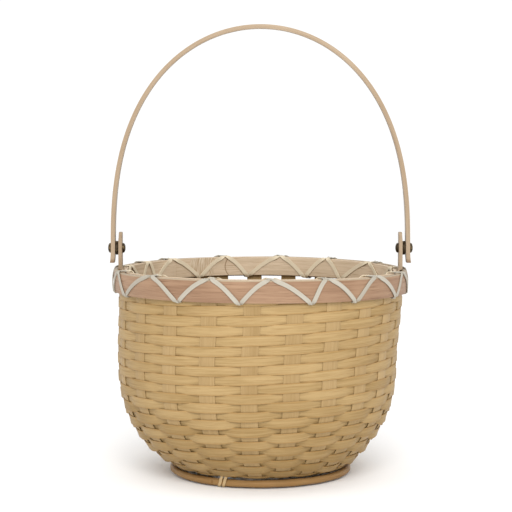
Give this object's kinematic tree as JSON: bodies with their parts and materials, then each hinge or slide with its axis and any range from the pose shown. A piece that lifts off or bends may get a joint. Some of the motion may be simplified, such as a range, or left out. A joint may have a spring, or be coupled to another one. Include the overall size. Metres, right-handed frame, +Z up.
{
  "type": "woven market basket",
  "caption": "Round woven bamboo basket with a lashed double-hoop rim, a cane foot ring and a tall flat bail that swings on riveted ears.",
  "frame": {"origin": "on the ground under the middle of the basket", "axes": "+Z up, the bail's hinge line along X, the front is -Y"},
  "size_m": [0.2602, 0.2528, 0.382],
  "materials": {
    "weaving_splint": "satin",
    "stake_bamboo": "satin",
    "hoop_skin": "satin",
    "hoop_flesh": "satin",
    "pale_cane": "satin",
    "rattan": "satin",
    "bail_bamboo": "satin",
    "aged_brass": "aged"
  },
  "bodies": {
    "basket": {"foot_ring": "rattan", "foot_ring_tie_1": "pale_cane", "foot_ring_tie_2": "pale_cane", "foot_ring_tie_3": "pale_cane", "floor_weave": "weaving_splint", "weaver_1": "weaving_splint", "weaver_2": "weaving_splint", "weaver_3": "weaving_splint", "weaver_4": "weaving_splint", "weaver_5": "weaving_splint", "weaver_6": "weaving_splint", "weaver_7": "weaving_splint", "crosswise_stake_1": "stake_bamboo", "crosswise_stake_2": "stake_bamboo", "crosswise_stake_3": "stake_bamboo", "crosswise_stake_4": "stake_bamboo", "crosswise_stake_5": "stake_bamboo", "lengthwise_stake_1": "stake_bamboo", "lengthwise_stake_2": "stake_bamboo", "lengthwise_stake_3": "stake_bamboo", "lengthwise_stake_4": "stake_bamboo", "lengthwise_stake_5": "stake_bamboo", "lengthwise_stake_6": "stake_bamboo", "bye_stake": "stake_bamboo", "inner_hoop": "hoop_flesh", "outer_hoop": "hoop_skin", "rim_filler_front": "hoop_flesh", "rim_filler_back": "hoop_flesh", "rim_lashing": "pale_cane", "left_ear": "bail_bamboo", "left_washer": "aged_brass", "left_rivet_post": "aged_brass", "left_rivet_cap": "aged_brass", "left_brad_1": "aged_brass", "left_brad_2": "aged_brass", "right_ear": "bail_bamboo", "right_washer": "aged_brass", "right_rivet_post": "aged_brass", "right_rivet_cap": "aged_brass", "right_brad_1": "aged_brass", "right_brad_2": "aged_brass"},
    "bail": {"bail": "bail_bamboo"}
  },
  "joints": [
    {"name": "bail_swing", "type": "hinge", "parent": "basket", "child": "bail", "pos_m": [0, 0, 0.1927], "axis": [1, 0, 0], "range_deg": [-105, 105]}
  ]
}
